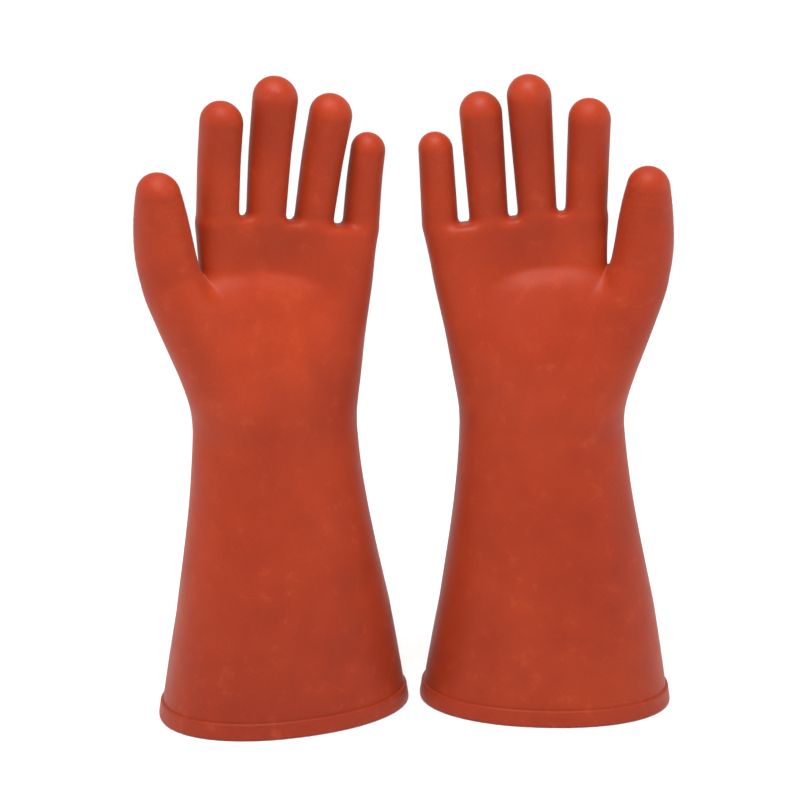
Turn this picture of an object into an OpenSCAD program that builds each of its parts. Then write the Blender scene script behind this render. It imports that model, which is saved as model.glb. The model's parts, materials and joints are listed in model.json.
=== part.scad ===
// Pair of heavy dipped-rubber insulating gloves, standing on their cuffs, fingers up.
// Each glove is one seamless moulding with a reinforcing band round the cuff. Its zones
// are split where the rubber bends: wrist, finger roots and mid fingers.
// Millimetres. +Z is up, the palms face -Y, the left glove is on the -X side.

/* [Whole glove] */
// length from the cuff rim to the tip of the middle finger
glove_length = 360; // [330:5:400]
// thickness of the rubber
wall = 1.8; // [1.2:0.1:2.4]
// distance between the centres of the two cuffs
pair_pitch = 151.2; // [150:0.5:220]

/* [Gauntlet and cuff] */
// width over the cuff rim
cuff_w = 144; // [134:1:146]
// depth over the cuff rim
cuff_d = 96; // [80:1:110]
// height of the reinforcing band
band_h = 9.5; // [7:0.5:14]
// how far the band stands out from the gauntlet
band_proud = 1.3; // [0.8:0.1:2]

/* [Wrist and palm] */
// width at the wrist
wrist_w = 93; // [88:1:98]
// depth at the wrist
wrist_d = 59; // [54:1:66]
// depth of the palm just below the fingers
knuckle_d = 28; // [26:1:32]
// how deep the hollow of the palm is
palm_hollow = 7; // [0:0.5:8]

/* [Fingers] */
// diameter of the index, middle and ring fingers
finger_d = 22.8; // [21:0.2:23.4]
// diameter of the little finger
little_d = 20.6; // [19:0.2:22]
// width of the thumb at the web
thumb_w = 34; // [31:0.2:34.4]

/* [Stance] */
// turn of the left glove about the vertical, thumb side forward
left_yaw = 19; // [0:1:25]
// turn of the right glove about the vertical, thumb side forward
right_yaw = 3; // [0:1:25]
// sideways lean of each hand off its cuff, as a slope
hand_sway = 0.0435; // [0:0.0005:0.06]

/* [Hidden] */

LEFT = 0;
RIGHT = 1;
GLOVE_SIDES = 40;  // corners round the gauntlet and palm
FINGER_SIDES = 18; // corners round a finger
GAP = 0.3;         // clearance between a flexing ring and the piece it carries
CENTRING = [-0.25, 6.2, 0]; // brings the middle of the pair to the origin
SWAY_FROM = 60;    // height at which the hand starts to lean off its cuff
RUBBER = [0.70, 0.27, 0.16];
BAND_RUBBER = [0.66, 0.24, 0.14];

// heights on the glove, before glove_length is applied
WRIST_MID = 165;
FLEX_LOW = 138;
FLEX_HIGH = 172;
KNUCKLES = 282;
CROWN = 284.6;

// ---- from glove coordinates (u to the little finger, v to the back, w up) to the pair ----
function sway(g, u, w) = u + (g == LEFT ? -1 : 1) * hand_sway * max(0, w - SWAY_FROM);
function turn(g) = g == LEFT ? left_yaw : right_yaw;
function flip(g) = g == LEFT ? 1 : -1;
function place(g, p) =
  let (u = sway(g, p.x, p.z), c = cos(turn(g)), s = sin(turn(g)))
  [flip(g) * (u * c - p.y * s - pair_pitch / 2),
   (g == LEFT ? -7 : 7) + u * s + p.y * c,
   p.z * glove_length / 360] + CENTRING;

// ---- the gauntlet and palm as a stack of rounded sections ----
function powered(x, e) = sign(x) * pow(abs(x), e);
function flare(w) = let (t = min(1, w / WRIST_MID)) (1 - t) - 0.085 * sin(180 * t * t);
function rise(w) = max(0, min(1, (w - FLEX_HIGH) / (KNUCKLES - FLEX_HIGH)));
function thumb_edge(w) = let (t = max(0, min(1, (w - 205) / 50)))
  -(wrist_w / 2 + (cuff_w - wrist_w) / 2 * flare(w)) + 9 * t * t * (3 - 2 * t);
function little_edge(w) = wrist_w / 2 + (cuff_w - wrist_w) / 2 * flare(w) + 14.6 * pow(rise(w), 0.95);
function half_depth(w) = wrist_d / 2 + (cuff_d - wrist_d) / 2 * flare(w)
  - (wrist_d - knuckle_d) / 2 * pow(rise(w), 1.2);
function centre_v(w) = -0.1 * max(0, w - 150);
function squareness(w) = 2.15 + 0.6 * rise(w);
function hollow(u, w) = palm_hollow * exp(-pow((u - 6) / 26, 2) - pow((w - 247) / 23, 2));
function top_slope(u, w) = -0.12 * max(u, -12) * pow(rise(w), 6);

// one section: w height, in inset from the outer skin, shrink of the depth near the crown
function section(g, w, in, shrink = 1, drop = 0) =
  let (a = (little_edge(w) - thumb_edge(w)) / 2 - in, m = (little_edge(w) + thumb_edge(w)) / 2,
       b = half_depth(w) * shrink - in, e = 2 / squareness(w))
  [for (i = [0:GLOVE_SIDES - 1])
    let (t = 360 * i / GLOVE_SIDES, u = m + a * powered(cos(t), e), v = b * powered(sin(t), e),
         h = v < 0 ? hollow(u, w) * pow(-v / b, 2) : 0)
    place(g, [u, centre_v(w) + v + h, w + top_slope(u, w) - drop])];

// ---- faces of stacked rings; every face is turned over on the mirrored glove ----
function turned(g, faces) = g == LEFT ? faces : [for (f = faces) [f[2], f[1], f[0]]];
function skin(first, rings, n) = [for (i = [0:rings - 2], j = [0:n - 1])
  let (a = first + i * n + j, b = first + i * n + (j + 1) % n)
  each [[a, a + n, b + n], [a, b + n, b]]];
function reversed(faces) = [for (f = faces) [f[2], f[1], f[0]]];
function annulus(outer, inner, n) = [for (j = [0:n - 1]) let (k = (j + 1) % n)
  each [[outer + j, outer + k, inner + k], [outer + j, inner + k, inner + j]]];
function fan(first, apex, n) = [for (j = [0:n - 1]) [first + j, apex, first + (j + 1) % n]];

// open tube from lists of outer and inner rings
module tube(g, outer, inner, n) {
  m = len(outer);
  polyhedron(
    points = [for (r = concat(outer, inner)) each r],
    faces = turned(g, concat(
      skin(0, m, n), reversed(skin(m * n, m, n)),
      annulus(0, m * n, n), reversed(annulus((m - 1) * n, (2 * m - 1) * n, n)))));
}

// closed body from a list of rings
module lump(g, rings, n) {
  m = len(rings);
  low = [for (i = [0:2]) sum_of(rings[0], i) / n];
  high = [for (i = [0:2]) sum_of(rings[m - 1], i) / n];
  polyhedron(
    points = concat([for (r = rings) each r], [low, high]),
    faces = turned(g, concat(skin(0, m, n), reversed(fan(0, m * n, n)), fan((m - 1) * n, m * n + 1, n))));
}
function sum_of(ring, i, k = 0) = k >= len(ring) ? 0 : ring[k][i] + sum_of(ring, i, k + 1);

// ---- the fingers: each is a bent axis with round sections on it ----
// root point, sideways slope on the left and right glove, tilt before and after the knuckle,
// then distances along the axis: root flex from and to, knuckle flex from and to, centre of
// the tip, half widths at the root and at the tip, and how late along the finger they change
ROUND = finger_d / 2;
SMALL = little_d / 2;
FINGERS = [
  ["thumb", [-56.2, -18, 257], [-4, -2.6], 12, 20, [0.8, 12.8], [23.5, 34.5], 45.6,
    [thumb_w / 2, 16.4], [11.6, 11.6], 2.4],
  ["index", [-26.8, -13.5, 285], [3.2, -2.4], 10, 18, [4.5, 15.5], [26, 37], 52.8,
    [ROUND, ROUND], [ROUND, ROUND], 1],
  ["middle", [-0.4, -13.5, 285], [4.6, 2.8], 10, 18, [4.5, 15.5], [31, 42], 65.2,
    [ROUND - 0.7, ROUND - 0.7], [ROUND + 0.4, ROUND + 0.4], 1],
  ["ring", [26, -13.2, 282], [8.6, 2.4], 10, 18, [4.9, 15.9], [28.5, 39.5], 59.4,
    [ROUND - 0.7, ROUND - 0.7], [ROUND, ROUND], 1],
  ["little", [52, -12.8, 279], [5.2, 1.2], 10, 18, [4.5, 14.5], [21, 31], 42.2,
    [SMALL - 0.2, SMALL - 0.2], [SMALL - 0.9, SMALL - 0.9], 1]
];
ROOT_LENGTH = 36; // how far the root of a finger runs down into the palm
POKE = 0.4;       // how far a hollow passes through the end it opens
THUMB = 0; INDEX = 1; MIDDLE = 2; RING = 3; LITTLE = 4;

function f_root(f) = FINGERS[f][1];
function f_splay(g, f) = FINGERS[f][2][g];
function f_flex(f) = FINGERS[f][5];
function f_bend(f) = FINGERS[f][6];
function f_tip(f) = FINGERS[f][7];
function f_middle(f) = (f_bend(f)[0] + f_bend(f)[1]) / 2;
function f_tilt(f, s) = let (t = (s - f_bend(f)[0]) / (f_bend(f)[1] - f_bend(f)[0]))
  FINGERS[f][3] + (FINGERS[f][4] - FINGERS[f][3]) * max(0, min(1, t));
function along(g, f, tilt) = let (p = f_splay(g, f)) [sin(p) * cos(tilt), -sin(tilt), cos(p) * cos(tilt)];
function f_centre(g, f, s) = f_root(f) + along(g, f, FINGERS[f][3]) * min(s, f_middle(f))
  + along(g, f, FINGERS[f][4]) * max(0, s - f_middle(f));
function f_size(f, s) = let (t = pow(max(0, min(1, s / f_tip(f))), FINGERS[f][10]))
  FINGERS[f][8] * (1 - t) + FINGERS[f][9] * t;

// one ring of a finger; k shrinks it on the dome of the tip, in insets it by the wall
function finger_ring(g, f, s, in = 0, k = 1) =
  let (tilt = f_tilt(f, s), d = along(g, f, tilt), c = f_centre(g, f, s), r = f_size(f, s),
       side = [cos(f_splay(g, f)), 0, -sin(f_splay(g, f))], back = cross(d, side))
  [for (i = [0:FINGER_SIDES - 1]) let (t = 360 * i / FINGER_SIDES)
    place(g, c + side * (r[0] - in) * k * cos(t) + back * (r[1] - in) * k * sin(t))];

module finger_tube(g, f, stops)
  tube(g, [for (s = stops) finger_ring(g, f, s)], [for (s = stops) finger_ring(g, f, s, wall)],
    FINGER_SIDES);

// closed fingertip: a short tube that ends in a dome, hollow inside
DOME = [0, 24, 46, 66];
module finger_tip(g, f) {
  start = f_bend(f)[1] + GAP;
  reach = f_size(f, f_tip(f))[1];
  outer = concat([finger_ring(g, f, start)],
    [for (a = DOME) finger_ring(g, f, f_tip(f) + reach * sin(a), 0, cos(a))]);
  inner = concat([finger_ring(g, f, start, wall)],
    [for (a = DOME) finger_ring(g, f, f_tip(f) + (reach - wall) * sin(a), wall, cos(a))]);
  n = FINGER_SIDES;
  m = len(outer);
  ends = [for (r = [reach, reach - wall]) place(g, f_centre(g, f, f_tip(f) + r))];
  polyhedron(
    points = concat([for (r = concat(outer, inner)) each r], ends),
    faces = turned(g, concat(
      skin(0, m, n), reversed(skin(m * n, m, n)), annulus(0, m * n, n),
      fan((m - 1) * n, 2 * m * n, n), reversed(fan((2 * m - 1) * n, 2 * m * n + 1, n)))));
}

module base_flex(g, f) color(RUBBER)
  finger_tube(g, f, [f_flex(f)[0], (f_flex(f)[0] + f_flex(f)[1]) / 2, f_flex(f)[1]]);
module proximal(g, f) color(RUBBER) finger_tube(g, f, [f_flex(f)[1] + GAP, f_bend(f)[0]]);
module knuckle_flex(g, f) color(RUBBER) finger_tube(g, f, [f_bend(f)[0], f_middle(f), f_bend(f)[1]]);
module tip(g, f) color(RUBBER) finger_tip(g, f);

// ---- gauntlet, band, wrist and palm ----
BAND_STOPS = [0, 1.1, band_h - 1.1, band_h];
BAND_SWELL = [0.3, 1, 1, 0.35];
GAUNTLET_STOPS = concat(BAND_STOPS, [34, 60, 86, 112, FLEX_LOW]);
WRIST_STOPS = [FLEX_LOW, 149, 161, FLEX_HIGH];
PALM_STOPS = [FLEX_HIGH + GAP, 184, 197, 210, 223, 236, 249, 262, 273, KNUCKLES];
CROWN_STOPS = [[KNUCKLES + 1.4, 0.8], [CROWN, 0.45]];

module gauntlet(g) color(RUBBER)
  tube(g, [for (w = GAUNTLET_STOPS) section(g, w, 0)], [for (w = GAUNTLET_STOPS) section(g, w, wall)],
    GLOVE_SIDES);

module cuff_band(g) color(BAND_RUBBER)
  tube(g, [for (i = [0:3]) section(g, BAND_STOPS[i], -band_proud * BAND_SWELL[i])],
    [for (w = BAND_STOPS) section(g, w, 0)], GLOVE_SIDES);

module wrist_flex(g) color(RUBBER)
  tube(g, [for (w = WRIST_STOPS) section(g, w, 0)], [for (w = WRIST_STOPS) section(g, w, wall)],
    GLOVE_SIDES);

module palm_body(g, in)
  lump(g, concat(in > 0 ? [section(g, FLEX_HIGH - 1, in)] : [],
    [for (w = PALM_STOPS) section(g, w, in)],
    [for (c = CROWN_STOPS) section(g, c[0], in, c[1], in)]), GLOVE_SIDES);

// thumb muscle: rings from the heel of the palm to the thumb root, each one a long oval
// from a disc at the thumb side to a disc inside the palm
MOUND = [
  [[-24.5, -8, 176], [15.5, 16]], [[-32.5, -11, 198], [18, 18.6]],
  [[-42, -14, 222], [18.6, 18.4]], [[-50.8, -16.6, 244], [17.8, 17.2]]
];
INWARD = [[-18, -9, 176], [-18, -12, 198], [-20, -13, 222], [-25, -13, 249]];
INWARD_SIZE = [14, 15];
function oval_ring(g, i, in) = [for (j = [0:FINGER_SIDES - 1])
  let (t = 360 * j / FINGER_SIDES, near = cos(t) < 0, c = near ? MOUND[i][0] : INWARD[i],
       r = near ? MOUND[i][1] : INWARD_SIZE)
    place(g, [c.x + (r.x - in) * cos(t), c.y + (r.y - in) * sin(t), c.z])];
function root_stop(f, in) = f_flex(f)[0] + (in > 0 ? POKE : 0);
module thumb_root(g, in)
  lump(g, concat([for (i = [0:len(MOUND) - 1]) oval_ring(g, i, in)],
    [finger_ring(g, THUMB, root_stop(THUMB, in), in)]), FINGER_SIDES);

// the root of a finger runs down into the palm and tapers there
module finger_root(g, f, in) hull()
  lump(g, [finger_ring(g, f, -ROOT_LENGTH, in, 0.7), finger_ring(g, f, -ROOT_LENGTH / 3, in),
    finger_ring(g, f, root_stop(f, in), in)], FINGER_SIDES);

module palm(g) color(RUBBER) difference() {
  union() {
    palm_body(g, 0);
    thumb_root(g, 0);
    for (f = [INDEX:LITTLE]) finger_root(g, f, 0);
  }
  palm_body(g, wall);
  thumb_root(g, wall);
  for (f = [INDEX:LITTLE]) finger_root(g, f, wall);
}

gauntlet(LEFT);  // left_gauntlet
cuff_band(LEFT);  // left_cuff_band
wrist_flex(LEFT);  // left_wrist_flex
palm(LEFT);  // left_palm
base_flex(LEFT, THUMB);  // left_thumb_base_flex
proximal(LEFT, THUMB);  // left_thumb_proximal
knuckle_flex(LEFT, THUMB);  // left_thumb_knuckle_flex
tip(LEFT, THUMB);  // left_thumb_tip
base_flex(LEFT, INDEX);  // left_index_base_flex
proximal(LEFT, INDEX);  // left_index_proximal
knuckle_flex(LEFT, INDEX);  // left_index_knuckle_flex
tip(LEFT, INDEX);  // left_index_tip
base_flex(LEFT, MIDDLE);  // left_middle_base_flex
proximal(LEFT, MIDDLE);  // left_middle_proximal
knuckle_flex(LEFT, MIDDLE);  // left_middle_knuckle_flex
tip(LEFT, MIDDLE);  // left_middle_tip
base_flex(LEFT, RING);  // left_ring_base_flex
proximal(LEFT, RING);  // left_ring_proximal
knuckle_flex(LEFT, RING);  // left_ring_knuckle_flex
tip(LEFT, RING);  // left_ring_tip
base_flex(LEFT, LITTLE);  // left_little_base_flex
proximal(LEFT, LITTLE);  // left_little_proximal
knuckle_flex(LEFT, LITTLE);  // left_little_knuckle_flex
tip(LEFT, LITTLE);  // left_little_tip
gauntlet(RIGHT);  // right_gauntlet
cuff_band(RIGHT);  // right_cuff_band
wrist_flex(RIGHT);  // right_wrist_flex
palm(RIGHT);  // right_palm
base_flex(RIGHT, THUMB);  // right_thumb_base_flex
proximal(RIGHT, THUMB);  // right_thumb_proximal
knuckle_flex(RIGHT, THUMB);  // right_thumb_knuckle_flex
tip(RIGHT, THUMB);  // right_thumb_tip
base_flex(RIGHT, INDEX);  // right_index_base_flex
proximal(RIGHT, INDEX);  // right_index_proximal
knuckle_flex(RIGHT, INDEX);  // right_index_knuckle_flex
tip(RIGHT, INDEX);  // right_index_tip
base_flex(RIGHT, MIDDLE);  // right_middle_base_flex
proximal(RIGHT, MIDDLE);  // right_middle_proximal
knuckle_flex(RIGHT, MIDDLE);  // right_middle_knuckle_flex
tip(RIGHT, MIDDLE);  // right_middle_tip
base_flex(RIGHT, RING);  // right_ring_base_flex
proximal(RIGHT, RING);  // right_ring_proximal
knuckle_flex(RIGHT, RING);  // right_ring_knuckle_flex
tip(RIGHT, RING);  // right_ring_tip
base_flex(RIGHT, LITTLE);  // right_little_base_flex
proximal(RIGHT, LITTLE);  // right_little_proximal
knuckle_flex(RIGHT, LITTLE);  // right_little_knuckle_flex
tip(RIGHT, LITTLE);  // right_little_tip
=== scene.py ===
"""Looks for a pair of dipped rubber insulating gloves that stand on their cuffs.

Each glove's skin is modelled as one smooth closed shape, in millimetres and in glove
coordinates: u runs from the thumb side to the little finger, v from palm to back, w up.
The shape is turned into a mesh, given a wall, and cut into the pieces that ride on the
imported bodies, so that the rubber bends at the wrist, the finger roots and the knuckles.
"""
import json
import math
import bpy
import numpy as np
from mathutils import Vector
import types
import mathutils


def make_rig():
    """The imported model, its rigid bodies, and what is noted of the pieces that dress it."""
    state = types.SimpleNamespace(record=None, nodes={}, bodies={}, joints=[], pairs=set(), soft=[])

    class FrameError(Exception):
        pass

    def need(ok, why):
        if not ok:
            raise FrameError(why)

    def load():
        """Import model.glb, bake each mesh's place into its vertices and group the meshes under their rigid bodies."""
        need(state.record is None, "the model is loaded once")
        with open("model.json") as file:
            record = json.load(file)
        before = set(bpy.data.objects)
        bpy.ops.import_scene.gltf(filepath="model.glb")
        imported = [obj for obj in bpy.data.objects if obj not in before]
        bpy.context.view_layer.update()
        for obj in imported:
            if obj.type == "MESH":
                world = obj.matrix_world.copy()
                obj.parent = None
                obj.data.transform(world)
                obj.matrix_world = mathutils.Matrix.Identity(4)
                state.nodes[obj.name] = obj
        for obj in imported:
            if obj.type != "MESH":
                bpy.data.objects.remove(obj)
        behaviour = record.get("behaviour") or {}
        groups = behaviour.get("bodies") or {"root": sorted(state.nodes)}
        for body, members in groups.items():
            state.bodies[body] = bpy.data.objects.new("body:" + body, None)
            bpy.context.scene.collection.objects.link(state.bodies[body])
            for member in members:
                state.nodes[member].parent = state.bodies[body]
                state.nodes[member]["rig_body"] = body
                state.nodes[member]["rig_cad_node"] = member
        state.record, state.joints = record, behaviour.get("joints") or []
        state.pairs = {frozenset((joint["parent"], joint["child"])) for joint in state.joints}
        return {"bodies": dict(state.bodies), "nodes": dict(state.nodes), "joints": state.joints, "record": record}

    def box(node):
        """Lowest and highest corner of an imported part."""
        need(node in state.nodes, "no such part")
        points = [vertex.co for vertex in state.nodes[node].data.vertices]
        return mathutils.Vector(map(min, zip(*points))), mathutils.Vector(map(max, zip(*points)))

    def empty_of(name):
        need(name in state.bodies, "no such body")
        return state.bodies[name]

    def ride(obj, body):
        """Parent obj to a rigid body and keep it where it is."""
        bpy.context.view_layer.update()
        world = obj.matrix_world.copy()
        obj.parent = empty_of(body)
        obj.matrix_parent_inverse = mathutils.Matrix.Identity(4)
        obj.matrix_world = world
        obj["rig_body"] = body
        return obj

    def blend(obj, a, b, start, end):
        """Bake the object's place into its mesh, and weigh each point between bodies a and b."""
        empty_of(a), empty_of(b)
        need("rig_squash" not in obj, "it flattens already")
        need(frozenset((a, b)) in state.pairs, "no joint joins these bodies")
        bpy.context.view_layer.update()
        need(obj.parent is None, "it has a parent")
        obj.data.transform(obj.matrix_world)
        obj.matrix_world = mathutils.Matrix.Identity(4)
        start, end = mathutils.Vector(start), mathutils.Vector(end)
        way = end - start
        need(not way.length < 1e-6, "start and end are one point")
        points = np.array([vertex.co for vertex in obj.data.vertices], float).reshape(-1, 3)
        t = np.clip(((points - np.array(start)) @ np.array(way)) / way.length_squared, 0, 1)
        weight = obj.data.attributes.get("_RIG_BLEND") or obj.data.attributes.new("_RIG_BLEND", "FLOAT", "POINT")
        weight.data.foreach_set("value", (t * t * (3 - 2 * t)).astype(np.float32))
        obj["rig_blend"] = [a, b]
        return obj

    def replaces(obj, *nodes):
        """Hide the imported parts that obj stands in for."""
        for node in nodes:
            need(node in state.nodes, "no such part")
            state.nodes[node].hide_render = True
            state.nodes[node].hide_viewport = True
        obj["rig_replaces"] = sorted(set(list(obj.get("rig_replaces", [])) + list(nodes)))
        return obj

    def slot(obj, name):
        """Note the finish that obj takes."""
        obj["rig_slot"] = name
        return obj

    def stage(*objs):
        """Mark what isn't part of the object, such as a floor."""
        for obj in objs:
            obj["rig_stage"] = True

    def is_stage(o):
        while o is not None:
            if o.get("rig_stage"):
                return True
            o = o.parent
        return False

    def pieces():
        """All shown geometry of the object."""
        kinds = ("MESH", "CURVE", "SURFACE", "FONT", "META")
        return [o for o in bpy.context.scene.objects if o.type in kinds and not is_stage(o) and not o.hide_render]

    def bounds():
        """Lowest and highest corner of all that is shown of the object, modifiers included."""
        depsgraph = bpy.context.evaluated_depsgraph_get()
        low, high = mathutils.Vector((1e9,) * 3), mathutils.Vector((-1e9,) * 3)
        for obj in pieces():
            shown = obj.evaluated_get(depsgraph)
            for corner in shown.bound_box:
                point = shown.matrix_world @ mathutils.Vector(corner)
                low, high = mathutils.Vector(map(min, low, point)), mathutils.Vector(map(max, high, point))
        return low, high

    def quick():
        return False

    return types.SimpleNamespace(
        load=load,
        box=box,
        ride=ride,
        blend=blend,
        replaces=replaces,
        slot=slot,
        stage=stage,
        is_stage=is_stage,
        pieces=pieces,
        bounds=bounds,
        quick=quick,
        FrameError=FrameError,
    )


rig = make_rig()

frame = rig.load()
LO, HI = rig.bounds()
RECORD = frame["record"]
JOINTS = {j["name"]: j for j in RECORD["behaviour"]["joints"]}

# ------------------------------------------------------------------ the shape, in mm
CELL = 2.4 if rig.quick() else 1.75    # size of the meshing grid
ROOM = (-84, 80), (-60, 54), (0, 364) # the space that one glove is looked for in: u, v, w
SLAB = 12                             # grid layers worked out at once, to save memory
WALL = 1.8
CUFF_A, CUFF_B = 72.0, 48.0           # half width and half depth over the cuff
WRIST_A, WRIST_B = 46.4, 29.5         # the same at the wrist
KNUCKLE_B = 14.0                      # half depth at the finger roots
WRIST_W, HAND_W, KNUCKLE_W = 165.0, 172.0, 282.0      # heights: wrist, heel of the hand, roots
LITTLE_OUT, THUMB_IN = 14.8, 8.5      # how far the hand's two edges move away from the wrist line
HOLLOW, HOLLOW_W = 10.8, 258.0        # depth of the hollow of the palm, and its ledge's height
ROOT_LINE = 284.0                     # top of the palm between the fingers, on the thumb's side
SWAY, SWAY_FROM = 0.0435, 60.0        # sideways lean of the hand off its cuff
LEAN = {"left": 1.1, "right": 0.0}    # slight sideways bow of the forearm

FINGERS = {   # root u, v, w; splay left, right; tilt before and after the knuckle;
              # knuckle and tip distances; radius at the root and tip, and how late it changes
    "thumb": (-55.5, -18.0, 257.0, -4.6, -3.2, 12.0, 20.0, 29.0, 45.6, 16.2, 11.6, 2.0),
    "index": (-26.8, -13.5, 285.0, 3.2, -2.4, 10.0, 18.0, 31.5, 52.8, 11.3, 11.3, 1),
    "middle": (-0.4, -13.5, 285.0, 4.6, 2.8, 10.0, 18.0, 36.5, 65.2, 10.6, 11.8, 1),
    "ring": (26.0, -13.2, 282.0, 8.6, 2.4, 10.0, 18.0, 34.0, 59.4, 10.6, 11.4, 1),
    "little": (52.7, -12.8, 279.0, 4.4, 0.8, 10.0, 18.0, 26.0, 42.2, 10.0, 9.3, 1),
}
# heights where each finger's skin is cut: root cut, end of root bend, cut between the two
# bends, start and end of the knuckle bend
CUTS = {
    "thumb": (257.2, 271.0, 274.5, 278.0, 292.0),
    "index": (288.0, 302.0, 305.5, 309.0, 322.5),
    "middle": (288.0, 302.0, 308.0, 314.0, 328.0),
    "ring": (285.6, 299.5, 304.0, 308.5, 322.0),
    "little": (281.4, 295.0, 296.6, 298.2, 311.0),
}
WRIST_BEND = (134.0, 176.0)
# the ball of the thumb, from the heel of the hand to the thumb's root: u, v, w, radius
MOUND = [(-23, -9, 180, 18.0), (-30.6, -11, 194, 18.7), (-36.0, -12.3, 206, 18.7),
         (-43.0, -14.6, 223, 18.1), (-49.0, -16.4, 238, 17.5), (-53.1, -17.4, 248.5, 16.9),
         (-55.5, -18.0, 257, 16.2)]
# the web between thumb and index finger: its two ends and its radius
WEB = (-42, -14, 238.5), (-22, -12.5, 239), 12.5
RIM_POINTS = 240                      # points round the cuff band
BAND = [(-1.0, 0.0), (0.35, 0.0), (0.85, 0.25), (1.2, 0.8), (1.35, 1.7), (1.35, 4.5), (1.3, 7.4),
        (1.4, 8.2), (1.3, 8.9), (0.95, 9.4), (0.45, 9.6), (0.0, 9.7), (-0.6, 9.5), (-0.9, 5.0)]


def smooth(t):
    """A soft step from 0 to 1."""
    t = np.clip(t, 0, 1)
    return t * t * (3 - 2 * t)


def smin(a, b, k):
    """The smaller of two distances, with a fillet of about k where they meet."""
    h = np.maximum(k - np.abs(a - b), 0) / k
    return np.minimum(a, b) - h * h * k / 4


def smax(a, b, k):
    return -smin(-a, -b, k)


def bump(u, w, cu, cw, su, sw):
    """A round swelling of height 1 at (cu, cw)."""
    return np.exp(-((u - cu) / su) ** 2 - ((w - cw) / sw) ** 2)


def flare(w):
    """How far the gauntlet has opened at height w: 1 at the rim, 0 at the wrist."""
    t = np.clip(w / WRIST_W, 0, 1)
    return (1 - t) - 0.085 * np.sin(np.pi * t * t)


def rise(w):
    """How far up the hand height w is: 0 at the heel, 1 at the finger roots."""
    return np.clip((w - HAND_W) / (KNUCKLE_W - HAND_W), 0, 1)


def centre_v(w):
    """The hand leans towards its palm above the forearm."""
    s = np.maximum(0, w - 140)
    return -0.1 * s * s / (s + 12)


def section(u, v, w):
    """Signed distance to the gauntlet and palm, as a stack of rounded sections."""
    f, r = flare(w), rise(w)
    arm = WRIST_A + (CUFF_A - WRIST_A) * f
    late = r - 0.045 * (1 - np.exp(-r / 0.045))             # starts without a corner
    thumb = -arm + THUMB_IN * smooth((w - 205) / 50)
    # the little finger's edge swells in mid palm and tucks in at the finger's root
    little = (arm + LITTLE_OUT * late ** 0.93
              + 1.5 * smooth((w - 212) / 40) - 0.7 * smooth((w - 262) / 20))
    a, m = (little - thumb) / 2, (little + thumb) / 2       # half width, and its middle
    b = WRIST_B + (CUFF_B - WRIST_B) * f - (WRIST_B - KNUCKLE_B) * r ** 1.2
    # the hollow eases in from above and stops at a ledge, sharpest on the thumb's side
    ledge = HOLLOW_W - 0.004 * (u + 18) ** 2
    below = np.maximum(0, ledge - w)
    sharp = 0.46 * (1 - smooth((u - 2) / 34))
    depth = np.where(w > ledge, np.exp(-((w - ledge) / 28) ** 2),
                     sharp * np.exp(-(below / 6.5) ** 2) + (1 - sharp) * np.exp(-(below / 24) ** 2))
    heel = 2.5 * bump(u, w, 12, 205, 28, 20)
    front = b - HOLLOW * depth * np.exp(-((u - 2) / 32) ** 2) + heel
    n = 2.15 + 0.6 * r                                      # squarer towards the knuckles
    y = v - centre_v(w)
    b = np.where(y < 0, front, b)
    x, y = np.abs(u - m) / a, np.abs(y) / b
    q = (x ** n + y ** n + 1e-9) ** (1 / n)
    slope = q ** (1 - n) * np.hypot(x ** (n - 1) / a, y ** (n - 1) / b)
    d = (q - 1) / np.maximum(slope, 1 / np.maximum(a, b))
    return np.maximum(d, -np.minimum(a, b))


def capsule(p, a, b, ra, rb):
    """Distance to a sleeve between two balls."""
    a, b = np.array(a, float), np.array(b, float)
    d = b - a
    t = np.clip(((p - a) @ d) / (d @ d), 0, 1)
    return np.linalg.norm(p - a - t[:, None] * d, axis=1) - (ra + (rb - ra) * t)


def finger_axis(name, side, steps=13):
    """Points on a finger's axis from its root to the centre of its tip, and its radii."""
    u, v, w, left, right, t0, t1, knuckle, tip, r0, r1, late = FINGERS[name]
    splay = math.radians(left if side == "left" else right)
    p, out = np.array([u, v, w]), []
    lean = math.radians(7 if name == "thumb" else 0)
    stops = np.linspace(0, tip, steps)
    for i, s in enumerate(stops):
        if i:
            mid = (s + stops[i - 1]) / 2
            tilt = math.radians(t0 + (t1 - t0) * float(smooth((mid - knuckle) / 18 + 0.5)))
            turn = splay - lean * (1 - float(smooth(mid / 22)))
            p = p + (s - stops[i - 1]) * np.array([math.sin(turn) * math.cos(tilt),
                                                   -math.sin(tilt), math.cos(turn) * math.cos(tilt)])
        out.append((p.copy(), r0 + (r1 - r0) * (s / tip) ** late))
    return out


def curve(points, count):
    """Points on a smooth curve through rows of u, v, w, radius."""
    p = np.array(points, float)
    p = np.vstack([2 * p[0] - p[1], p, 2 * p[-1] - p[-2]])
    out = []
    for t in np.linspace(0, len(points) - 1, count):
        i = min(int(t), len(points) - 2)
        t -= i
        a, b, c, d = p[i:i + 4]
        q = 0.5 * (2 * b + (c - a) * t + (2 * a - 5 * b + 4 * c - d) * t * t
                   + (3 * b - a - 3 * c + d) * t ** 3)
        out.append((q[:3], q[3]))
    return out


def chain(p, points):
    """Distance to a row of balls (centre, radius) with straight sleeves between them."""
    return np.minimum.reduce([capsule(p, a, b, ra, rb) for (a, ra), (b, rb) in zip(points, points[1:])])


def finger(p, name, side):
    """Distance to one finger, with the part of it that lies inside the palm."""
    axis = finger_axis(name, side)
    if name == "thumb":
        axis = curve(MOUND, 19) + axis[1:]
    else:
        first, r0 = axis[0]
        inward = -5 if name == "little" else 0
        axis = [(first + np.array([inward, 5.5, -26.0]), r0 - 3.5)] + axis
    return chain(p, axis)


def palm_block(p):
    """The gauntlet and palm alone, closed above by the line of the finger roots."""
    u, v, w = p.T
    palm = section(u, v, w)
    top = w - (ROOT_LINE - 0.125 * np.maximum(u, -12))
    return np.where(w > 240, smax(palm, top, 6), palm)


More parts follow.
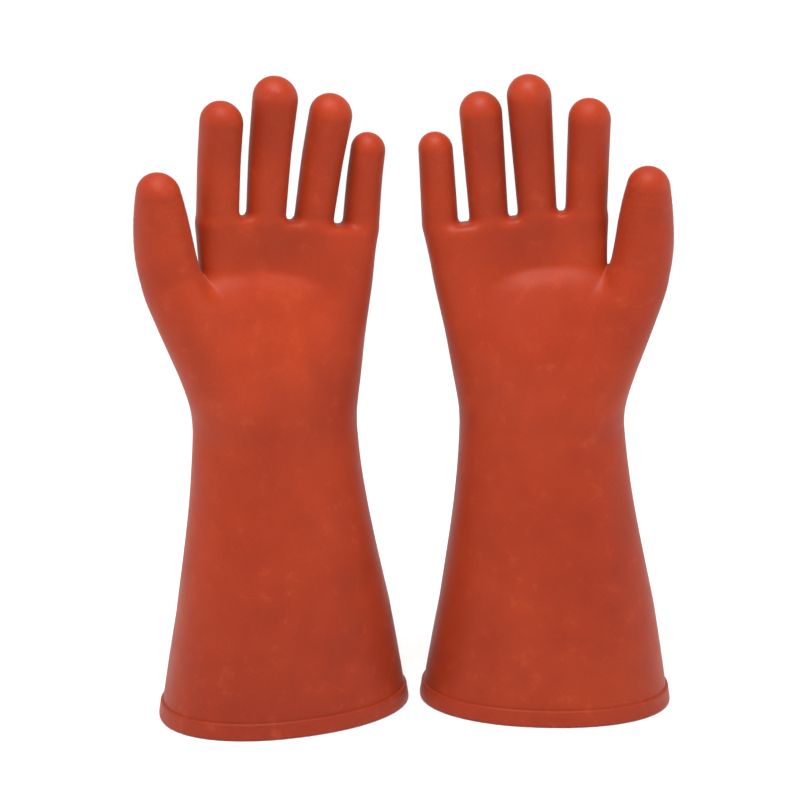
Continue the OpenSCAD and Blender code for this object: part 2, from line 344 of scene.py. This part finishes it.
def skin(p, side):
    """Signed distance to the outside of one glove."""
    w = p[:, 2]
    palm = palm_block(p)
    high = np.flatnonzero(w > 160)
    if len(high) == 0:
        return palm
    q, d = p[high], palm[high]
    one_end, other_end, radius = WEB
    d = smin(d, capsule(q, one_end, other_end, radius, radius), 8)
    # the thumb's ball melts into the palm, and the thumb itself stands clear of it
    d = smin(d, finger(q, "thumb", side), 1.5 + 8.5 * smooth((256 - q[:, 2]) / 20))
    fingers = np.flatnonzero(q[:, 2] > 236)
    if len(fingers):
        top = q[fingers]
        row = finger(top, "index", side)
        for name in ("middle", "ring", "little"):
            row = smin(row, finger(top, name, side), 1.0)
        d[fingers] = smin(d[fingers], row, 4)
    palm[high] = d
    return palm


def gradient(p, side, step=0.15):
    """Direction in which the distance to the skin grows."""
    g = np.zeros_like(p)
    for i in range(3):
        d = np.zeros(3)
        d[i] = step
        g[:, i] = (skin(p + d, side) - skin(p - d, side)) / (2 * step)
    return g


# ------------------------------------------------------------------ meshing
def surface(side):
    """Vertices, quads and layer numbers of the zero level of skin(), open at w = 0."""
    h = CELL
    xs, ys, zs = (np.arange(a, b, h) for a, b in (ROOM[0], ROOM[1], (ROOM[2][0], ROOM[2][1] + h)))
    grid = np.empty((len(xs), len(ys), len(zs)), np.float32)
    gx, gy = np.meshgrid(xs, ys, indexing="ij")
    for k in range(0, len(zs), SLAB):
        part = zs[k:k + SLAB]
        shape = gx.shape + (len(part),)
        points = np.stack([np.broadcast_to(gx[..., None], shape),
                           np.broadcast_to(gy[..., None], shape),
                           np.broadcast_to(part, shape)], -1).reshape(-1, 3)
        grid[:, :, k:k + len(part)] = skin(points, side).reshape(shape)
    inside = grid < 0
    # one vertex in every cell that the surface passes through, at the mean of its crossings
    corner = [(i, j, k) for i in (0, 1) for j in (0, 1) for k in (0, 1)]
    n = np.array(grid.shape) - 1
    block = lambda a, c: a[c[0]:c[0] + n[0], c[1]:c[1] + n[1], c[2]:c[2] + n[2]]
    count = sum(block(inside, c).astype(np.int8) for c in corner)
    cells = np.argwhere((count > 0) & (count < 8))
    index = np.full(n, -1, np.int32)
    index[tuple(cells.T)] = np.arange(len(cells))
    values = {c: grid[tuple((cells + c).T)] for c in corner}
    total, hits = np.zeros((len(cells), 3)), np.zeros(len(cells))
    for a in corner:
        for axis in range(3):
            if a[axis]:
                continue
            b = tuple(x + (i == axis) for i, x in enumerate(a))
            va, vb = values[a], values[b]
            cross = (va < 0) != (vb < 0)
            t = np.where(cross, va / np.where(cross, va - vb, 1), 0)
            point = np.repeat(np.array(a, float)[None], len(cells), 0)
            point[:, axis] += t
            total += point * cross[:, None]
            hits += cross
    verts = (cells + total / hits[:, None]) * h + np.array([xs[0], ys[0], zs[0]])
    # one quad round every grid edge that the surface crosses
    quads = []
    for axis in range(3):
        b, c = (axis + 1) % 3, (axis + 2) % 3
        lo = [slice(None)] * 3
        hi = [slice(None)] * 3
        lo[axis], hi[axis] = slice(0, -1), slice(1, None)
        first, second = inside[tuple(lo)], inside[tuple(hi)]
        edges = np.argwhere(first != second)
        keep = (edges[:, b] > 0) & (edges[:, c] > 0) & (edges[:, b] < n[b]) & (edges[:, c] < n[c])
        edges = edges[keep]
        out = first[tuple(edges.T)]
        loop = []
        for db, dc in ((1, 1), (0, 1), (0, 0), (1, 0)):
            e = edges.copy()
            e[:, b] -= db
            e[:, c] -= dc
            loop.append(index[tuple(e.T)])
        loop = np.stack(loop, 1)
        loop[~out] = loop[~out][:, ::-1]
        quads.append(loop)
    return verts, np.concatenate(quads), cells[:, 2]


def settle(verts, quads, layer, side):
    """Evens the mesh out and lays it exactly on the skin. Gives the normals too."""
    edges = np.concatenate([quads[:, [i, (i + 1) % 4]] for i in range(4)])
    degree = np.bincount(edges.ravel(), minlength=len(verts)).astype(float)
    bottom = layer == 0
    for turn in range(4):
        total = np.zeros_like(verts)
        np.add.at(total, edges[:, 0], verts[edges[:, 1]])
        np.add.at(total, edges[:, 1], verts[edges[:, 0]])
        moved = verts + 0.5 * (total / degree[:, None] - verts)
        moved[:, 2] = verts[:, 2] + 0.5 * (moved[:, 2] - verts[:, 2])
        verts = np.where(bottom[:, None], verts, moved)
        verts[bottom, 2] = 0
        for _ in range(2 if turn == 3 else 1):
            g = gradient(verts, side)
            step = skin(verts, side)[:, None] * g / np.maximum((g * g).sum(1), 0.05)[:, None]
            step[bottom, 2] = 0
            verts = verts - np.clip(step, -CELL, CELL)
    g = gradient(verts, side)
    return verts, g / np.linalg.norm(g, axis=1)[:, None]


# ------------------------------------------------------------------ from glove to pair
def placing(side):
    """Turn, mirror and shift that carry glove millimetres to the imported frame."""
    axis = JOINTS[side + "_wrist"]["axis"]
    lo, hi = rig.box(side + "_cuff_band")
    flip = 1 if side == "left" else -1
    cx, cy = (lo.x + hi.x) / 2, (lo.y + hi.y) / 2
    c, s = axis[0], axis[1] * flip                          # the glove's turn about the upright

    def place(p):
        u = p[:, 0] - flip * SWAY * np.maximum(0, p[:, 2] - SWAY_FROM)
        u = u + LEAN[side] * np.exp(-((p[:, 2] - 180) / 75) ** 2)
        return np.stack([cx + flip * (u * c - p[:, 1] * s) / 1000,
                         cy + (u * s + p[:, 1] * c) / 1000, p[:, 2] / 1000], 1)

    def turn(n):
        up = n[:, 2] + flip * SWAY * n[:, 0]
        out = np.stack([flip * (n[:, 0] * c - n[:, 1] * s), n[:, 0] * s + n[:, 1] * c, up], 1)
        return out / np.linalg.norm(out, axis=1)[:, None]
    return place, turn, flip


def add(name, data):
    o = bpy.data.objects.new(name, data)
    bpy.context.scene.collection.objects.link(o)
    return o


def make_piece(name, verts, faces, normals, material):
    mesh = bpy.data.meshes.new(name)
    mesh.from_pydata(verts.tolist(), [], faces)
    mesh.polygons.foreach_set("use_smooth", [True] * len(mesh.polygons))
    mesh.materials.append(material)
    if normals is not None:
        mesh.normals_split_custom_set_from_vertices(normals.tolist())
    mesh.update()
    return add(name, mesh)


def shell(name, quads, verts, normals, place, turn, flip, material):
    """A closed piece with a wall: outside, inside, and a strip along every open edge."""
    used = np.unique(quads)
    renum = np.full(len(verts), -1)
    renum[used] = np.arange(len(used))
    q = renum[quads]
    n = len(used)
    out, inn = verts[used], verts[used] - WALL * normals[used]
    low = verts[used][:, 2] <= 1e-6
    inn[low, 2] = 0
    faces = [q, q[:, ::-1] + n]
    pairs = np.concatenate([q[:, [i, (i + 1) % 4]] for i in range(4)])
    key = pairs[:, 0].astype(np.int64) * n + pairs[:, 1]
    back = pairs[:, 1].astype(np.int64) * n + pairs[:, 0]
    rim = pairs[~np.isin(key, back)]
    faces.append(np.stack([rim[:, 1], rim[:, 0], rim[:, 0] + n, rim[:, 1] + n], 1))
    faces = np.concatenate(faces)
    if flip < 0:
        faces = faces[:, ::-1]
    nn = turn(normals[used])
    return make_piece(name, np.concatenate([place(out), place(inn)]), faces.tolist(),
                      np.concatenate([nn, -nn]), material)


def build_glove(side, material, band_material):
    """One glove: a shell up to the finger roots, two pieces a finger, and the cuff band."""
    place, turn, flip = placing(side)
    verts, quads, layer = surface(side)
    verts, normals = settle(verts, quads, layer, side)
    # which finger each vertex belongs to, above that finger's root cut
    owner = np.zeros(len(verts), int)
    names = list(FINGERS)
    near = np.stack([finger(verts, name, side) for name in names] + [palm_block(verts)], 1)
    best = near.argmin(1)
    for i, name in enumerate(names):
        owner[(best == i) & (layer * CELL > CUTS[name][0])] = 1 + 2 * i
        owner[(best == i) & (layer * CELL > CUTS[name][2])] = 2 + 2 * i
    # a quad belongs to the lowest piece that any of its corners belongs to
    piece_of = owner[quads].min(1)
    body = shell(side + "_glove_shell", quads[piece_of == 0], verts, normals,
                 place, turn, flip, material)
    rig.slot(body, "glove_rubber")
    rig.replaces(body, side + "_gauntlet", side + "_wrist_flex", side + "_palm")
    mm = lambda w: tuple(place(np.array([[0.0, 0.0, w]]))[0] * [0, 0, 1])
    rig.blend(body, side + "_glove", side + "_hand", mm(WRIST_BEND[0]), mm(WRIST_BEND[1]))
    for i, name in enumerate(names):
        root_cut, root_end, _, bend, bend_end = CUTS[name]
        lower = shell(f"{side}_{name}_lower_skin", quads[piece_of == 1 + 2 * i], verts, normals,
                      place, turn, flip, material)
        upper = shell(f"{side}_{name}_tip_skin", quads[piece_of == 2 + 2 * i], verts, normals,
                      place, turn, flip, material)
        for o in (lower, upper):
            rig.slot(o, "glove_rubber")
        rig.replaces(lower, f"{side}_{name}_base_flex", f"{side}_{name}_proximal")
        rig.replaces(upper, f"{side}_{name}_knuckle_flex", f"{side}_{name}_tip")
        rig.blend(lower, side + "_hand", f"{side}_{name}_lower", mm(root_cut + CELL), mm(root_end))
        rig.blend(upper, f"{side}_{name}_lower", f"{side}_{name}_end", mm(bend), mm(bend_end))
    cuff_band(side, place, turn, flip, band_material)


def outline(w, count):
    """Points round the gauntlet's section at height w, and outward directions."""
    t = np.linspace(0, 2 * np.pi, count, endpoint=False)
    r = np.full(count, 60.0)
    for _ in range(12):
        p = np.stack([r * np.cos(t), r * np.sin(t), np.full(count, float(w))], 1)
        r = r - skin(p, "left")
    g = gradient(p, "left")
    g[:, 2] = 0
    return p, g / np.linalg.norm(g, axis=1)[:, None]


def cuff_band(side, place, turn, flip, material):
    """The raised strip round the rim: the BAND profile (proud, height) carried round."""
    rings = []
    for out, w in BAND:
        p, g = outline(w, RIM_POINTS)
        rings.append(p + g * out)
    rings = np.array(rings)
    faces = []
    for i in range(len(BAND)):
        j = (i + 1) % len(BAND)
        for k in range(RIM_POINTS):
            after = (k + 1) % RIM_POINTS
            f = [i * RIM_POINTS + k, i * RIM_POINTS + after, j * RIM_POINTS + after, j * RIM_POINTS + k]
            faces.append(f if flip > 0 else f[::-1])
    piece = make_piece(side + "_cuff_strip", place(rings.reshape(-1, 3)), faces, None, material)
    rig.slot(piece, "cuff_rubber")
    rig.replaces(piece, side + "_cuff_band")
    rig.ride(piece, side + "_glove")


# ------------------------------------------------------------------ materials
def node(tree, kind, **values):
    """A new shader node with some of its settings and inputs given."""
    n = tree.nodes.new(kind)
    for key, value in values.items():
        if hasattr(n, key):
            setattr(n, key, value)
        else:
            n.inputs[key].default_value = value
    return n


def grey(value):
    return (value, value, value, 1)


def rubber(name, dark, mid, light):
    """Dull dipped rubber: mottled colour, faint scuffs, and painted shade that darkens it towards the cuff."""
    material = bpy.data.materials.new(name)
    material.use_nodes = True
    tree = material.node_tree
    bsdf = tree.nodes["Principled BSDF"]
    coords = node(tree, "ShaderNodeTexCoord")

    def noise(scale, detail, rough=0.5):
        n = node(tree, "ShaderNodeTexNoise", Scale=scale, Detail=detail, Roughness=rough)
        tree.links.new(coords.outputs["Object"], n.inputs["Vector"])
        return n.outputs["Fac"]

    def ramp(value, stops):
        r = node(tree, "ShaderNodeValToRGB")
        r.color_ramp.elements[0].position, r.color_ramp.elements[0].color = stops[0]
        r.color_ramp.elements[1].position, r.color_ramp.elements[1].color = stops[-1]
        for position, colour in stops[1:-1]:
            r.color_ramp.elements.new(position).color = colour
        tree.links.new(value, r.inputs["Fac"])
        return r.outputs["Color"]

    def mix(kind, factor, a, b):
        m = node(tree, "ShaderNodeMix", data_type="RGBA", blend_type=kind, clamp_factor=True)
        if isinstance(factor, float):
            m.inputs[0].default_value = factor
        else:
            tree.links.new(factor, m.inputs[0])
        for socket, value in ((m.inputs[6], a), (m.inputs[7], b)):
            if isinstance(value, tuple):
                socket.default_value = value
            else:
                tree.links.new(value, socket)
        return m.outputs[2]

    broad = ramp(noise(14, 3), [(0.35, dark), (0.5, mid), (0.68, light)])
    cloud = ramp(noise(55, 5, 0.6), [(0.35, (0.95, 0.94, 0.94, 1)), (0.65, grey(1.03))])
    grain = ramp(noise(900, 2, 0.6), [(0.3, grey(0.93)), (0.7, grey(1.06))])
    height = node(tree, "ShaderNodeSeparateXYZ")
    tree.links.new(coords.outputs["Object"], height.inputs[0])
    # painted shade: the colour darkens towards the cuff, standing in for the light from above falling off there
    painted_low_shade = ramp(height.outputs["Z"], [(0.03, (0.85, 0.84, 0.84, 1)), (0.19, grey(1.0))])
    colour = mix("MULTIPLY", 1.0, mix("MULTIPLY", 1.0, broad, cloud), grain)
    colour = mix("MULTIPLY", 1.0, colour, painted_low_shade)
    scuff = ramp(noise(110, 7, 0.7), [(0.57, grey(0)), (0.8, grey(0.3))])
    colour = mix("MIX", scuff, colour, (0.46, 0.085, 0.035, 1))
    tree.links.new(colour, bsdf.inputs["Base Color"])
    gloss = ramp(noise(40, 4, 0.6), [(0.3, grey(0.46)), (0.7, grey(0.6))])
    tree.links.new(gloss, bsdf.inputs["Roughness"])
    relief = mix("MIX", 0.35, noise(120, 4, 0.55), noise(1400, 2, 0.6))
    bumpy = node(tree, "ShaderNodeBump", Strength=0.12, Distance=0.0006)
    tree.links.new(relief, bumpy.inputs["Height"])
    tree.links.new(bumpy.outputs["Normal"], bsdf.inputs["Normal"])
    bsdf.inputs["Specular IOR Level"].default_value = 0.2
    bsdf.inputs["Sheen Weight"].default_value = 0.05
    bsdf.inputs["Sheen Roughness"].default_value = 0.5
    bsdf.inputs["Sheen Tint"].default_value = (1.0, 0.75, 0.68, 1)
    return material


GLOVE = rubber("glove_rubber",
               (0.270, 0.0210, 0.0022, 1), (0.293, 0.0240, 0.0026, 1), (0.325, 0.0295, 0.0036, 1))
CUFF = rubber("cuff_rubber",
              (0.275, 0.0218, 0.0026, 1), (0.29, 0.0240, 0.003, 1), (0.31, 0.027, 0.004, 1))

for side in ("left", "right"):
    build_glove(side, GLOVE, CUFF)


# ------------------------------------------------------------------ stage, light and camera
def aim(o, direction):
    o.rotation_mode = "QUATERNION"
    o.rotation_quaternion = Vector(direction).to_track_quat("-Z", "Y")


def paper_floor(half=150, tone=0.95):
    """A pale sheet that reaches past the horizon, a hair below the rims."""
    mesh = bpy.data.meshes.new("floor")
    mesh.from_pydata([(-half, -half, 0), (half, -half, 0), (half, half, 0), (-half, half, 0)],
                     [], [(0, 1, 2, 3)])
    floor = add("floor", mesh)
    floor.location.z = -0.0002
    paper = bpy.data.materials.new("paper")
    paper.use_nodes = True
    inputs = paper.node_tree.nodes["Principled BSDF"].inputs
    inputs["Base Color"].default_value = grey(tone)
    inputs["Roughness"].default_value = 0.9
    mesh.materials.append(paper)
    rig.stage(floor)


def studio_world():
    """White round the horizon, softer overhead."""
    world = bpy.data.worlds.new("studio")
    bpy.context.scene.world = world
    world.use_nodes = True
    sky = world.node_tree
    background = sky.nodes["Background"]
    background.inputs["Color"].default_value = (1, 1, 1, 1)
    toward = node(sky, "ShaderNodeTexCoord")
    part = node(sky, "ShaderNodeSeparateXYZ")
    fade = node(sky, "ShaderNodeMapRange", interpolation_type="SMOOTHSTEP",
                **{"From Min": 0.2, "From Max": 0.5, "To Min": 1.0, "To Max": 0.52})
    sky.links.new(toward.outputs["Generated"], part.inputs[0])
    sky.links.new(part.outputs["Z"], fade.inputs["Value"])
    sky.links.new(fade.outputs["Result"], background.inputs["Strength"])


def lamp(name, place, target, size, power):
    light = bpy.data.lights.new(name, "AREA")
    light.shape, light.size, light.energy = "SQUARE", size, power
    o = add(name, light)
    o.location = place
    aim(o, Vector(target) - Vector(place))


def sun(power, angle, direction):
    light = bpy.data.lights.new("sun", "SUN")
    light.energy, light.angle = power, math.radians(angle)
    aim(add("sun", light), direction)


def photo_camera(pitch=13.26, lens=78.345, away=0.95, height=0.403, shift=0.0091):
    """A camera in front of the pair, midway between the two cuffs and looking slightly down."""
    left_lo, left_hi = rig.box("left_cuff_band")
    right_lo, right_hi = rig.box("right_cuff_band")
    stand = (left_lo + left_hi + right_lo + right_hi) / 4
    camera = add("camera", bpy.data.cameras.new("camera"))
    camera.location = (stand.x - shift, stand.y - away, height)
    camera.rotation_euler = (math.pi / 2 - math.radians(pitch), 0, 0)
    camera.data.sensor_width = 36
    camera.data.lens = lens
    camera.data.clip_start = 0.05
    bpy.context.scene.camera = camera
    bpy.context.scene.view_settings.view_transform = "Standard"


paper_floor()
studio_world()
lamp("key", (-0.03, -0.30, 0.80), (0, 0, 0.28), 0.4, 3.2)
lamp("side_left", (-0.8, -0.12, 0.42), (-0.08, 0, 0.2), 0.5, 1.0)
lamp("side_right", (0.8, -0.12, 0.42), (0.08, 0, 0.2), 0.5, 1.0)
sun(1.75, 26, (0.05, 0.44, -1))
photo_camera()

lo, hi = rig.bounds()
with open("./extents.json", "w") as f:
    json.dump({"cad": [list(LO), list(HI)], "visual": [list(lo), list(hi)]}, f)
